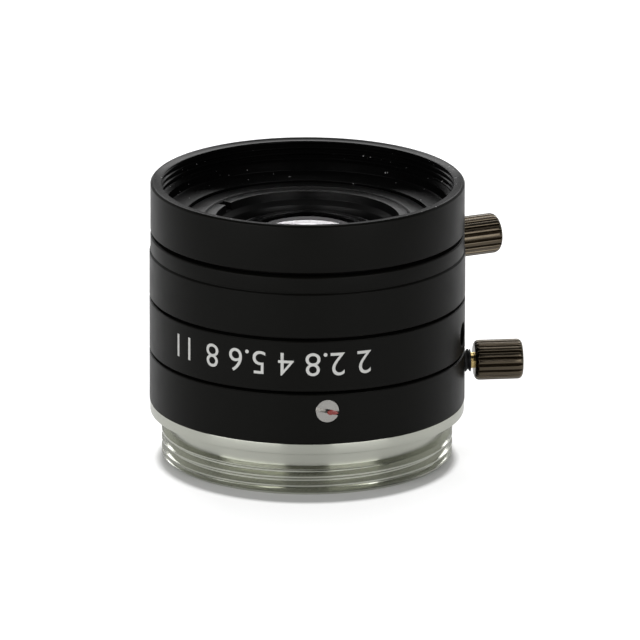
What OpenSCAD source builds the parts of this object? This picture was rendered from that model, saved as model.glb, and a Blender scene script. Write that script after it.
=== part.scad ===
// C-mount machine vision lens with a focus ring and an iris ring, each held by
// its own thumbscrew. The lens stands on its thread end, front opening up.
// Millimetres. The origin is the centre of the thread's end face, and +Z runs
// from the camera towards the subject.

/* [Outside] */

// Outside diameter of the black rings
barrel_d = 27.5; // [27.2:0.1:29]
// How much smaller the front rings are, on the radius
front_relief = 0.08; // [0.04:0.01:0.14]
// Chamfer on the edges of the rings
edge_chamfer = 0.08; // [0.04:0.01:0.1]
// Thickness of the bright flange above its seat
flange_thickness = 0.95; // [0.85:0.05:1.3]
// Length of the focus ring
focus_ring_length = 4.47; // [4.4:0.05:6]
// Length of the fixed sleeve with the aperture numbers
scale_sleeve_length = 4.55; // [4.4:0.05:6]
// Length of the iris ring
iris_ring_length = 5.48; // [5.3:0.05:7]
// Length of the front barrel
front_barrel_length = 4.31; // [4:0.05:5.5]
// Gap between the focus ring and the scale sleeve
rear_groove = 0.24; // [0.2:0.01:0.4]
// Gap between the scale sleeve and the iris ring
middle_groove = 0.26; // [0.15:0.01:0.4]
// Gap between the iris ring and the front barrel
front_groove = 0.34; // [0.2:0.01:0.5]

/* [C-mount] */

// Outside diameter of the 1-32 UN mount thread
mount_thread_d = 25.4; // [25.3:0.05:25.5]
// Length from the thread's end face up to the seat
mount_thread_end = 4; // [3.9:0.05:4.3]
// Length of the bare neck next to the seat
mount_neck_length = 1.55; // [1.3:0.05:1.8]

/* [Front opening] */

// Wall from the outside to the root of the M26 x 0.5 filter thread
rim_wall = 0.67; // [0.5:0.01:0.9]
// Length of the filter thread from the rim
filter_thread_length = 1.78; // [1.5:0.05:2]
// Depth from the rim down to the face of the front cell
front_cell_depth = 3.23; // [3:0.05:3.4]

/* [Optics] */

// Wall of the front cell round the front element
front_cell_wall = 2.2; // [2:0.05:2.4]
// Width of an iris blade
blade_w = 2.75; // [2.7:0.05:3.1]
// Radial room from the rear bore to the rear element
rear_cell_room = 4; // [3.85:0.05:4.1]

/* [Motion] */

// Turn of the iris ring from fully open to smallest stop, in degrees
iris_turn = 45; // [35:1:48]
// Turn of one blade over the same movement, in degrees
blade_turn = 26; // [20:1:27]
// Forward travel of the optical unit
focus_travel = 1.25; // [0.8:0.05:1.4]

/* [Lock screws] */

// Diameter of the knurled heads
lock_head_d = 3.5; // [3:0.1:4]
// Length of the knurled heads
lock_head_length = 4.22; // [3.5:0.1:5]
// Gap between the focus ring and its thumbscrew head
focus_lock_gap = 0.9; // [0.6:0.05:1.5]
// Gap between the iris ring and its thumbscrew head
iris_lock_gap = 0.2; // [0.15:0.05:0.6]
// Direction of the focus thumbscrew, in degrees from +X
focus_lock_azimuth = 6.5; // [0:0.5:20]
// Direction of the iris thumbscrew, in degrees from +X
iris_lock_azimuth = 25; // [15:0.5:30]

/* [Fits] */

// Radial gap between parts that turn or slide on each other
running_gap = 0.05; // [0.03:0.01:0.07]

/* [Hidden] */

$fn = 96;
eps = 0.01;

// Radii, from the outside inwards
barrel_r = barrel_d / 2;
front_r = barrel_r - front_relief;
flange_r = barrel_r - 0.05;
spigot_r = barrel_r - 0.85;
nut_r = barrel_r - 1;
bearing_r = barrel_r - 1.45;
retainer_thread_r = barrel_r - 1.75;
shell_r = barrel_r - 1.8;
front_thread_r = barrel_r - 2.25;
guide_r = barrel_r - 2.4;
mount_bore_r = guide_r + running_gap;
cell_r = barrel_r - 3.35;
iris_chamber_r = barrel_r - 3.8;
rear_bore_r = barrel_r - 4.15;
filter_thread_r = front_r - rim_wall;

// Mount thread, a little under its nominal size as a class 2A thread is
mount_thread_r = mount_thread_d / 2 - 0.015;
neck_r = mount_thread_d / 2 - 0.6;
mouth_r = 0.45 * mount_thread_d;

// Heights of the rings
seat_z = mount_thread_end;
flange_z1 = seat_z + flange_thickness;
focus_z0 = flange_z1 + 0.03;
focus_z1 = focus_z0 + focus_ring_length;
scale_z0 = focus_z1 + rear_groove;
scale_z1 = scale_z0 + scale_sleeve_length;
iris_z0 = scale_z1 + middle_groove;
iris_z1 = iris_z0 + iris_ring_length;
front_z0 = iris_z1 + front_groove;
front_z1 = front_z0 + front_barrel_length;
spigot_gap = 0.04;
iris_step_z = iris_z1 - 1.46;

// Heights inside the mount
shoulder_z1 = focus_z0 + 0.59;
retainer_z0 = shoulder_z1 + running_gap;
retainer_z1 = retainer_z0 + 0.73;
nut_z0 = retainer_z1 + 0.07;
nut_z1 = focus_z1 - 0.05;
guide_pin_z = seat_z + flange_thickness / 2;
guide_pin_r = 0.4;
barrel_shoulder_z = scale_z0 - 0.14;

// Heights of the iris, from the lower end of the iris ring
base_z0 = iris_z0 - 2;
base_t = 0.4;
blade_count = 6;
blade_t = 0.06;
blade_pitch = 0.09;
blade_z0 = base_z0 + base_t + 0.03;
cam_z0 = blade_z0 + blade_pitch * blade_count + 0.01;
cam_t = 0.6;
drive_z = iris_z0 + 1.2;
cam_z1 = drive_z + 0.7;
cell_z0 = cam_z1 + running_gap;
cell_z1 = front_z1 - front_cell_depth;
barrel_top_z = cell_z1 - 0.25;

// Iris blades and the slots that drive them
pivot_r = iris_chamber_r - 2.55;
blade_inner_r = pivot_r - 0.8 - blade_w;
blade_mid_r = blade_inner_r + blade_w / 2;
blade_sweep = 130;
stop_r = blade_inner_r - 0.1;
blade_pin_r = 0.25;
pin_gap = 0.04;
drive_arm = 1.7;
drive_arm_start = 60;
slot_steps = 24;
slot_half = blade_pin_r + pin_gap;
cam_inner_r = pivot_r - 0.5;
cam_r = iris_chamber_r - running_gap;
cam_wall_r = iris_chamber_r - 0.85;

// Front optics
front_glass_r = cell_r - front_cell_wall;
front_seat_z = cell_z0 + 0.81;
second_glass_r = front_glass_r - 2.2;
front_vertex_z = front_seat_z + 4.05;
front_curve_r = 16;
front_back_curve_r = 8.5;
front_back_vertex_z = front_vertex_z - 1.76;
second_vertex_z = cell_z0 + 1.85;
second_back_vertex_z = cell_z0 - 0.45;
lip_r = front_glass_r - 0.2;
front_ring_r = front_glass_r + 0.65;
front_ring_z1 = cell_z1 - 0.07;
clear_r = front_glass_r - 0.85;
front_contact_z = front_vertex_z - front_curve_r + sqrt(pow(front_curve_r, 2) - pow(clear_r, 2));

// Rear optics, measured down from the iris base
rear_top_z = base_z0 - 0.05;
rear_glass_r = rear_bore_r - rear_cell_room;
doublet_a_r = rear_glass_r - 0.8;
doublet_b_r = rear_glass_r - 0.4;
rear_seat_z = rear_top_z - 0.51;
third_vertex_z = rear_top_z - 1.35;
joint_a_vertex_z = rear_top_z - 2.15;
fourth_vertex_z = rear_top_z - 4.85;
fifth_vertex_z = rear_top_z - 5.25;
joint_b_vertex_z = rear_top_z - 8.15;
sixth_vertex_z = rear_top_z - 9.05;
rear_front_vertex_z = rear_top_z - 9.32;
rear_vertex_z = rear_top_z - 11.45;
rear_cell_z0 = rear_top_z - 11.75;
rear_flange_z = rear_top_z - 3.25;
rear_tube_r = rear_glass_r + 1.8;
step_a_z = rear_top_z - 3.75;
step_b_z = rear_top_z - 8.43;
rear_ring_r = rear_glass_r + 0.7;
rear_ring_z1 = rear_cell_z0 + 0.7;

// Screws
lock_screw_r = 1;
lock_hole_r = lock_screw_r + 0.04;
lock_pad_r = 0.9;
lock_neck_r = 0.7;
lock_head_r = lock_head_d / 2;
lock_round = 0.42;
knurl_count = 18;
focus_lock_z = focus_z0 + 2.87;
iris_lock_z = iris_z0 + 3.19;
focus_pad_rho = guide_r + 0.14;
iris_pad_rho = shell_r + 0.06;
focus_pad_length = 1.1;
iris_pad_length = 0.55;
pad_gap = 0.02;
focus_screw_z = focus_z0 + 2.95;
focus_screw_azimuth = -82.6;
focus_screw_rho = barrel_r - 0.05;
scale_screw_azimuth = -10;
scale_screw_z = scale_z0 + 1.76;
scale_screw_r = 1.05;
drive_azimuth = 120;
drive_screw_r = 0.8;
drive_dog_r = 0.5;
dog_gap = 0.03;

// Shared shapes

module turned(points) {
    rotate_extrude() polygon(points);
}

module ring(outer, inner, z0, z1) {
    turned([[inner, z0], [outer, z0], [outer, z1], [inner, z1]]);
}

module disc(radius, z0, z1) {
    translate([0, 0, z0]) cylinder(r = radius, h = z1 - z0);
}

// Children are built along local +Z, which points outwards from the lens axis
module radial(azimuth, z) {
    rotate([0, 0, azimuth]) translate([0, 0, z]) rotate([0, 90, 0]) children();
}

module wedge(from, to, reach) {
    steps = 8;
    polygon(concat(
        [[0, 0]],
        [for (k = [0 : steps]) let (a = from + (to - from) * k / steps) [reach * cos(a), reach * sin(a)]]
    ));
}

module ball_below(vertex_z, curve_r) {
    translate([0, 0, vertex_z - curve_r]) sphere(r = curve_r, $fn = 256);
}

module ball_above(vertex_z, curve_r) {
    translate([0, 0, vertex_z + curve_r]) sphere(r = curve_r, $fn = 256);
}

// Slotted grub screw along local +Z
module slotted_screw(radius, from, to, slot_angle) {
    difference() {
        translate([0, 0, from]) cylinder(r = radius, h = to - from);
        rotate([0, 0, slot_angle])
            translate([-0.19, -radius - eps, to - 0.55])
                cube([0.38, 2 * radius + 2 * eps, 1]);
    }
}

module lock_thumbscrew(tip, head) {
    neck = head - 0.3;
    far = head + lock_head_length;
    union() {
        translate([0, 0, tip]) cylinder(r = lock_screw_r, h = neck - tip);
        translate([0, 0, neck]) cylinder(r = lock_neck_r, h = 0.3);
        difference() {
            turned([
                [0, head],
                [lock_head_r - lock_round, head],
                [lock_head_r - 0.12, head + lock_round * 0.45],
                [lock_head_r, head + lock_round],
                [lock_head_r, far - lock_round],
                [lock_head_r - 0.12, far - lock_round * 0.45],
                [lock_head_r - lock_round, far],
                [0, far]
            ]);
            for (k = [0 : knurl_count - 1])
                rotate([0, 0, 360 * k / knurl_count])
                    translate([lock_head_r + 0.06, 0, head - eps])
                        linear_extrude(height = lock_head_length + 2 * eps)
                            circle(r = 0.2);
        }
    }
}

// Mount

module c_mount_ring() {
    color([0.78, 0.78, 0.76]) difference() {
        turned([
            [mouth_r, 0],
            [mount_thread_r - 0.25, 0],
            [mount_thread_r, 0.25],
            [mount_thread_r, seat_z - mount_neck_length - 0.1],
            [neck_r, seat_z - mount_neck_length],
            [neck_r, seat_z],
            [flange_r - edge_chamfer, seat_z],
            [flange_r, seat_z + edge_chamfer],
            [flange_r, flange_z1 - 0.03],
            [flange_r - 0.03, flange_z1],
            [bearing_r, flange_z1],
            [bearing_r, retainer_z0],
            [retainer_thread_r, retainer_z0],
            [retainer_thread_r, retainer_z1],
            [mount_bore_r, retainer_z1],
            [mount_bore_r, flange_z1 + 0.2],
            [mouth_r, flange_z1 + 0.2]
        ]);
        radial(180, guide_pin_z) cylinder(r = guide_pin_r, h = mount_bore_r + 1.6);
    }
}

module guide_pin() {
    color([0.75, 0.75, 0.78])
        radial(180, guide_pin_z)
            translate([0, 0, guide_r - 0.5])
                cylinder(r = guide_pin_r, h = mount_bore_r + 1.6 - guide_r + 0.5);
}

module focus_retaining_ring() {
    color([0.72, 0.60, 0.30]) ring(nut_r - running_gap, retainer_thread_r, retainer_z0, retainer_z1);
}

// Focus ring and its helicoid

module focus_holes() {
    for (k = [0 : 2])
        radial(focus_screw_azimuth + 120 * k, focus_screw_z)
            translate([0, 0, nut_r - 0.65])
                cylinder(r = lock_screw_r, h = barrel_r);
    radial(focus_lock_azimuth, focus_lock_z) cylinder(r = lock_hole_r, h = barrel_r + 1);
}

module focus_ring() {
    color([0.07, 0.07, 0.07]) difference() {
        turned([
            [bearing_r + running_gap, focus_z0],
            [barrel_r - edge_chamfer, focus_z0],
            [barrel_r, focus_z0 + edge_chamfer],
            [barrel_r, focus_z1 - edge_chamfer],
            [barrel_r - edge_chamfer, focus_z1],
            [nut_r, focus_z1],
            [nut_r, shoulder_z1],
            [bearing_r + running_gap, shoulder_z1]
        ]);
        focus_holes();
    }
}

module helicoid_nut() {
    color([0.72, 0.60, 0.30]) difference() {
        ring(nut_r, guide_r + running_gap, nut_z0, nut_z1);
        focus_holes();
    }
}

module focus_set_screws() {
    color([0.75, 0.75, 0.78]) for (k = [0 : 2])
        radial(focus_screw_azimuth + 120 * k, focus_screw_z)
            slotted_screw(lock_screw_r, nut_r - 0.65, focus_screw_rho, -13);
}

module focus_lock_pad() {
    color([0.90, 0.90, 0.86])
        radial(focus_lock_azimuth, focus_lock_z)
            translate([0, 0, focus_pad_rho])
                cylinder(r = lock_pad_r, h = focus_pad_length);
}

module focus_lock_thumbscrew() {
    color([0.45, 0.38, 0.28])
        radial(focus_lock_azimuth, focus_lock_z)
            lock_thumbscrew(focus_pad_rho + focus_pad_length + pad_gap, barrel_r + focus_lock_gap);
}

// Optical unit

module inner_barrel() {
    slot_half_angle = asin((drive_dog_r + dog_gap) / iris_chamber_r);
    color([0.10, 0.10, 0.10]) difference() {
        turned([
            [rear_bore_r, base_z0 - 11.1],
            [guide_r - 0.15, base_z0 - 11.1],
            [guide_r, base_z0 - 10.95],
            [guide_r, barrel_shoulder_z],
            [shell_r, barrel_shoulder_z],
            [shell_r, front_z0 - front_groove + spigot_gap],
            [front_thread_r, front_z0 - front_groove + spigot_gap],
            [front_thread_r, barrel_top_z],
            [cell_r, barrel_top_z],
            [cell_r, cell_z0],
            [iris_chamber_r, cell_z0],
            [iris_chamber_r, base_z0],
            [rear_bore_r, base_z0]
        ]);
        rotate([0, 0, 180])
            translate([guide_r - 0.6, -guide_pin_r - pin_gap, guide_pin_z - focus_travel - guide_pin_r - 0.1])
                cube([1, 2 * (guide_pin_r + pin_gap), focus_travel + 2 * guide_pin_r + 0.2]);
        translate([0, 0, drive_z - drive_dog_r - dog_gap])
            linear_extrude(height = 2 * (drive_dog_r + dog_gap))
                wedge(drive_azimuth - slot_half_angle, drive_azimuth + iris_turn + slot_half_angle, barrel_r + 1);
        radial(scale_screw_azimuth, scale_screw_z)
            translate([0, 0, shell_r - 0.55])
                cylinder(r = scale_screw_r, h = 2);
    }
}

module scale_sleeve() {
    color([0.07, 0.07, 0.07]) difference() {
        turned([
            [shell_r, scale_z0],
            [barrel_r - edge_chamfer, scale_z0],
            [barrel_r, scale_z0 + edge_chamfer],
            [barrel_r, scale_z1 - edge_chamfer],
            [barrel_r - edge_chamfer, scale_z1],
            [spigot_r, scale_z1],
            [spigot_r, iris_z0 - spigot_gap],
            [shell_r, iris_z0 - spigot_gap]
        ]);
        radial(scale_screw_azimuth, scale_screw_z) cylinder(r = scale_screw_r, h = barrel_r + 1);
    }
}

module scale_set_screw() {
    color([0.75, 0.75, 0.78])
        radial(scale_screw_azimuth, scale_screw_z)
            slotted_screw(scale_screw_r, shell_r - 0.55, shell_r + 0.75, 30);
}

module front_barrel() {
    minor_r = filter_thread_r - 0.27;
    wall_r = minor_r - 0.48;
    lip = cell_r + 0.3;
    color([0.07, 0.07, 0.07]) turned([
        [front_thread_r, iris_z1 + spigot_gap],
        [spigot_r, iris_z1 + spigot_gap],
        [spigot_r, front_z0],
        [front_r - edge_chamfer, front_z0],
        [front_r, front_z0 + edge_chamfer],
        [front_r, front_z1 - 0.16],
        [front_r - 0.16, front_z1],
        [filter_thread_r + 0.15, front_z1],
        [minor_r, front_z1 - 0.33],
        [minor_r, front_z1 - filter_thread_length],
        [wall_r, front_z1 - filter_thread_length - 0.1],
        [wall_r, cell_z1 + 0.5],
        [lip, cell_z1 + 0.09],
        [lip, barrel_top_z],
        [front_thread_r, barrel_top_z]
    ]);
}

// Front optics

module front_element() {
    color([0.70, 0.78, 0.85, 0.35]) difference() {
        intersection() {
            disc(front_glass_r, front_seat_z, front_vertex_z + 1);
            ball_below(front_vertex_z, front_curve_r);
        }
        ball_below(front_back_vertex_z, front_back_curve_r);
    }
}

module second_element() {
    color([0.70, 0.78, 0.85, 0.35]) intersection() {
        disc(second_glass_r, second_back_vertex_z - 1, second_vertex_z + 1);
        ball_below(second_vertex_z, 14);
        ball_above(second_back_vertex_z, 40);
    }
}

module front_spacer() {
    color([0.10, 0.10, 0.10]) difference() {
        ring(second_glass_r + 0.8, second_glass_r - 0.15, cell_z0 + 0.4, front_seat_z);
        ball_below(second_vertex_z, 14);
    }
}

module front_cell() {
    seat = cell_z0 + 0.4;
    color([0.30, 0.31, 0.32]) difference() {
        union() {
            disc(cell_r, cell_z0, cell_z1);
            disc(cam_wall_r - 0.2, cell_z0 - 0.65, cell_z0 + eps);
        }
        disc(second_glass_r - 0.6, cell_z0 - 1, cell_z1 + 1);
        intersection() {
            disc(second_glass_r, cell_z0 - 1, cell_z1 + 1);
            ball_above(second_back_vertex_z, 40);
        }
        disc(second_glass_r + 0.8, seat, cell_z1 + 1);
        disc(front_glass_r, front_seat_z, cell_z1 + 1);
        disc(front_ring_r, front_contact_z - 0.3, cell_z1 + 1);
        turned([
            [0, cell_z1 - 0.15],
            [front_ring_r, cell_z1 - 0.15],
            [front_ring_r + 0.17, cell_z1 + eps],
            [0, cell_z1 + eps]
        ]);
    }
}

module front_retaining_ring() {
    color([0.12, 0.12, 0.12]) difference() {
        turned([
            [clear_r, front_contact_z],
            [front_ring_r, front_contact_z - 0.3],
            [front_ring_r, front_ring_z1 - 0.06],
            [front_ring_r - 0.06, front_ring_z1],
            [lip_r, front_ring_z1],
            [lip_r - 0.08, front_ring_z1 - 0.73],
            [lip_r - 0.5, front_ring_z1 - 1.13],
            [clear_r, front_contact_z + 0.1]
        ]);
        ball_below(front_vertex_z, front_curve_r);
        for (side = [0, 180])
            rotate([0, 0, 150 + side])
                translate([lip_r - 0.4, -0.5, front_ring_z1 - 0.6])
                    cube([2, 1, 2]);
    }
}

// Iris

function rot2(p, a) = [p[0] * cos(a) - p[1] * sin(a), p[0] * sin(a) + p[1] * cos(a)];
function drive_pin(turn) =
    [pivot_r + drive_arm * cos(drive_arm_start + turn), drive_arm * sin(drive_arm_start + turn)];
function slot_centre(k) = rot2(drive_pin(blade_turn * k / slot_steps), -iris_turn * k / slot_steps);
function slot_side(k, side) =
    let (
        a = slot_centre(max(k - 1, 0)),
        b = slot_centre(min(k + 1, slot_steps)),
        t = (b - a) / norm(b - a)
    )
    slot_centre(k) + side * slot_half * [-t[1], t[0]];

module cam_slot() {
    polygon(concat(
        [for (k = [0 : slot_steps]) slot_side(k, 1)],
        [for (k = [slot_steps : -1 : 0]) slot_side(k, -1)]
    ));
    translate(slot_centre(0)) circle(r = slot_half);
    translate(slot_centre(slot_steps)) circle(r = slot_half);
}

module iris_base() {
    color([0.16, 0.15, 0.14]) difference() {
        union() {
            ring(iris_chamber_r, stop_r, base_z0, base_z0 + base_t);
            ring(iris_chamber_r, iris_chamber_r - 0.75, base_z0, cam_z0 - 0.03);
        }
        for (k = [0 : blade_count - 1])
            rotate([0, 0, 360 * k / blade_count])
                translate([pivot_r, 0, base_z0 - eps])
                    cylinder(r = slot_half, h = base_t + 2 * eps);
    }
}

module blade_outline() {
    difference() {
        union() {
            intersection() {
                circle(r = blade_inner_r + blade_w);
                wedge(-10, blade_sweep, 2 * pivot_r);
            }
            translate([blade_mid_r, -0.45]) square([pivot_r - blade_mid_r, 0.9]);
            translate([pivot_r, 0]) circle(r = 0.52);
            translate([pivot_r, 0]) rotate(drive_arm_start) translate([0, -0.35]) square([drive_arm, 0.7]);
            translate(drive_pin(0)) circle(r = 0.42);
        }
        circle(r = blade_inner_r);
    }
}

module iris_blade(index) {
    z = blade_z0 + blade_pitch * index;
    color([0.25, 0.24, 0.22]) rotate([0, 0, 360 * index / blade_count]) union() {
        translate([0, 0, z]) linear_extrude(height = blade_t) blade_outline();
        translate([pivot_r, 0, base_z0 + 0.1]) cylinder(r = blade_pin_r, h = z + blade_t - base_z0 - 0.1);
        translate([drive_pin(0)[0], drive_pin(0)[1], z])
            cylinder(r = blade_pin_r, h = cam_z0 + cam_t - 0.1 - z);
    }
}

module iris_blade_1() {
    iris_blade(0);
}

module iris_blade_2() {
    iris_blade(1);
}

module iris_blade_3() {
    iris_blade(2);
}

module iris_blade_4() {
    iris_blade(3);
}

module iris_blade_5() {
    iris_blade(4);
}

module iris_blade_6() {
    iris_blade(5);
}

module iris_cam_ring() {
    color([0.72, 0.60, 0.30]) difference() {
        union() {
            ring(cam_r, cam_inner_r, cam_z0, cam_z0 + cam_t);
            ring(cam_r, cam_wall_r, cam_z0, cam_z1);
        }
        for (k = [0 : blade_count - 1])
            translate([0, 0, cam_z0 - eps])
                linear_extrude(height = cam_t + 2 * eps)
                    rotate(360 * k / blade_count) cam_slot();
        radial(drive_azimuth, drive_z)
            translate([0, 0, cam_wall_r - 1]) cylinder(r = drive_dog_r, h = 3);
    }
}

module iris_ring() {
    color([0.07, 0.07, 0.07]) difference() {
        turned([
            [shell_r + running_gap, iris_z0],
            [barrel_r - edge_chamfer, iris_z0],
            [barrel_r, iris_z0 + edge_chamfer],
            [barrel_r, iris_step_z - 0.12],
            [front_r - 0.06, iris_step_z],
            [front_r, iris_step_z + 0.05],
            [front_r, iris_z1 - edge_chamfer],
            [front_r - edge_chamfer, iris_z1],
            [shell_r + running_gap, iris_z1]
        ]);
        radial(iris_lock_azimuth, iris_lock_z) cylinder(r = lock_hole_r, h = barrel_r + 1);
        radial(drive_azimuth, drive_z) cylinder(r = drive_screw_r, h = barrel_r + 1);
    }
}

module iris_drive_screw() {
    color([0.75, 0.75, 0.78]) radial(drive_azimuth, drive_z) union() {
        slotted_screw(drive_screw_r, shell_r + 0.15, barrel_r - 0.05, 90);
        translate([0, 0, cam_wall_r + 0.15])
            cylinder(r = drive_dog_r, h = shell_r + 0.15 - cam_wall_r - 0.15 + eps);
    }
}

module iris_lock_pad() {
    color([0.90, 0.90, 0.86])
        radial(iris_lock_azimuth, iris_lock_z)
            translate([0, 0, iris_pad_rho])
                cylinder(r = lock_pad_r, h = iris_pad_length);
}

module iris_lock_thumbscrew() {
    color([0.45, 0.38, 0.28])
        radial(iris_lock_azimuth, iris_lock_z)
            lock_thumbscrew(iris_pad_rho + iris_pad_length + pad_gap, barrel_r + iris_lock_gap);
}

// Rear optics

module third_element() {
    color([0.70, 0.78, 0.85, 0.35]) difference() {
        disc(doublet_a_r, step_a_z, rear_seat_z);
        ball_above(third_vertex_z, 10);
        ball_below(joint_a_vertex_z, 9);
    }
}

module fourth_element() {
    color([0.72, 0.80, 0.84, 0.35]) intersection() {
        disc(doublet_a_r, fourth_vertex_z - 1, joint_a_vertex_z + 1);
        ball_below(joint_a_vertex_z, 9);
        ball_above(fourth_vertex_z, 11);
    }
}

module fifth_element() {
    color([0.70, 0.78, 0.85, 0.35]) intersection() {
        disc(doublet_b_r, joint_b_vertex_z - 1, fifth_vertex_z + 1);
        ball_below(fifth_vertex_z, 16);
        ball_above(joint_b_vertex_z, 9);
    }
}

module sixth_element() {
    color([0.72, 0.80, 0.84, 0.35]) difference() {
        intersection() {
            disc(doublet_b_r, sixth_vertex_z - 1, joint_b_vertex_z + 1.654);
            ball_above(sixth_vertex_z, 22);
        }
        ball_above(joint_b_vertex_z, 9);
    }
}

module rear_element() {
    color([0.70, 0.78, 0.85, 0.35]) intersection() {
        disc(rear_glass_r, rear_vertex_z - 1, rear_front_vertex_z + 1);
        ball_below(rear_front_vertex_z, 18);
        ball_above(rear_vertex_z, 60);
    }
}

module rear_spacer_a() {
    color([0.10, 0.10, 0.10]) difference() {
        ring(doublet_b_r, doublet_a_r - 0.4, fifth_vertex_z - 0.87, step_a_z);
        ball_above(fourth_vertex_z, 11);
        ball_below(fifth_vertex_z, 16);
    }
}

module rear_spacer_b() {
    color([0.10, 0.10, 0.10]) difference() {
        ring(rear_glass_r, doublet_b_r - 0.3, rear_front_vertex_z - 0.9, step_b_z);
        ball_above(sixth_vertex_z, 22);
        ball_below(rear_front_vertex_z, 18);
    }
}

module rear_cell() {
    color([0.12, 0.12, 0.12]) difference() {
        turned([
            [0, rear_cell_z0],
            [rear_tube_r - 0.15, rear_cell_z0],
            [rear_tube_r, rear_cell_z0 + 0.15],
            [rear_tube_r, rear_flange_z],
            [rear_bore_r, rear_flange_z],
            [rear_bore_r, rear_top_z],
            [0, rear_top_z]
        ]);
        disc(doublet_a_r - 0.8, rear_cell_z0 - 1, rear_top_z + 1);
        disc(doublet_a_r, rear_cell_z0 - 1, rear_seat_z);
        disc(doublet_b_r, rear_cell_z0 - 1, step_a_z);
        disc(rear_glass_r, rear_cell_z0 - 1, step_b_z);
        disc(rear_ring_r, rear_cell_z0 - 1, rear_ring_z1);
    }
}

module rear_retaining_ring() {
    color([0.12, 0.12, 0.12]) difference() {
        ring(rear_ring_r, rear_glass_r - 0.5, rear_cell_z0, rear_ring_z1);
        rear_element();
        for (side = [0, 180])
            rotate([0, 0, 90 + side])
                translate([rear_glass_r - 0.1, -0.5, rear_cell_z0 - 1])
                    cube([2, 1, 1.35]);
    }
}

c_mount_ring();
guide_pin();
focus_retaining_ring();
focus_ring();
helicoid_nut();
focus_set_screws();
focus_lock_pad();
focus_lock_thumbscrew();
inner_barrel();
scale_sleeve();
scale_set_screw();
front_barrel();
front_cell();
front_retaining_ring();
front_element();
front_spacer();
second_element();
iris_base();
iris_blade_1();
iris_blade_2();
iris_blade_3();
iris_blade_4();
iris_blade_5();
iris_blade_6();
iris_cam_ring();
iris_ring();
iris_drive_screw();
iris_lock_pad();
iris_lock_thumbscrew();
rear_cell();
third_element();
fourth_element();
rear_spacer_a();
fifth_element();
sixth_element();
rear_spacer_b();
rear_element();
rear_retaining_ring();
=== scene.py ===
"""Dresses a C-mount machine vision lens that stands on its thread end.

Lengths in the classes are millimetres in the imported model's frame: +Z is the
optical axis, -Y faces the camera and +X carries the thumbscrews.
"""

import logging
import math
from dataclasses import dataclass
from enum import Enum

import bmesh
import bpy
import numpy as np
from mathutils import Matrix, Vector


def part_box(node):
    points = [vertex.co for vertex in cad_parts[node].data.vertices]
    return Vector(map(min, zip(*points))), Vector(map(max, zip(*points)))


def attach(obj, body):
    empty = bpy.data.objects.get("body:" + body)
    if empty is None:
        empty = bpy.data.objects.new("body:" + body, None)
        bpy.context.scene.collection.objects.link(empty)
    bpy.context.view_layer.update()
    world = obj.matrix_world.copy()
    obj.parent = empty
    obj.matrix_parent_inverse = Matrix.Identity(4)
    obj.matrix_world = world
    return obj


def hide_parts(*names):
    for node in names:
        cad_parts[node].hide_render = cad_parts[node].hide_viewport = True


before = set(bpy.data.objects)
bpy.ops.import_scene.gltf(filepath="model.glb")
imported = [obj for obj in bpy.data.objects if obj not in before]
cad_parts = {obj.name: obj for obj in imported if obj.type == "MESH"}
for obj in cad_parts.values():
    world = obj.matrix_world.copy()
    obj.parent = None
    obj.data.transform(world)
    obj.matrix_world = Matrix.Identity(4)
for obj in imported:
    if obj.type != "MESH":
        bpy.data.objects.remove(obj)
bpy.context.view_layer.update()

log = logging.getLogger("lens")

MM = 0.001
TURN = 2.0 * math.pi
MERGE_MM = 0.0002
SHARP_DEG = 32.0
COLUMNS = 720


class Body(Enum):
    """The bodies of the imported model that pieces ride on."""

    MOUNT = "mount"
    FOCUS = "focus"
    FOCUS_SCREW = "focus_screw"
    OPTICS = "optics"
    IRIS = "iris"
    IRIS_SCREW = "iris_screw"


class Slot(Enum):
    """The record's material slots."""

    BRIGHT = "bright_aluminium"
    ANODISED = "black_anodised"
    INNER = "black_inner"
    CELL = "grey_cell"
    BRASS = "brass"
    STEEL = "steel"
    NICKEL = "dark_nickel"
    NYLON = "nylon"
    BLADE = "blade_steel"
    PAINT = "white_paint"
    LACQUER = "red_lacquer"
    GLASS = "coated_glass"


# Finishes


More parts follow.
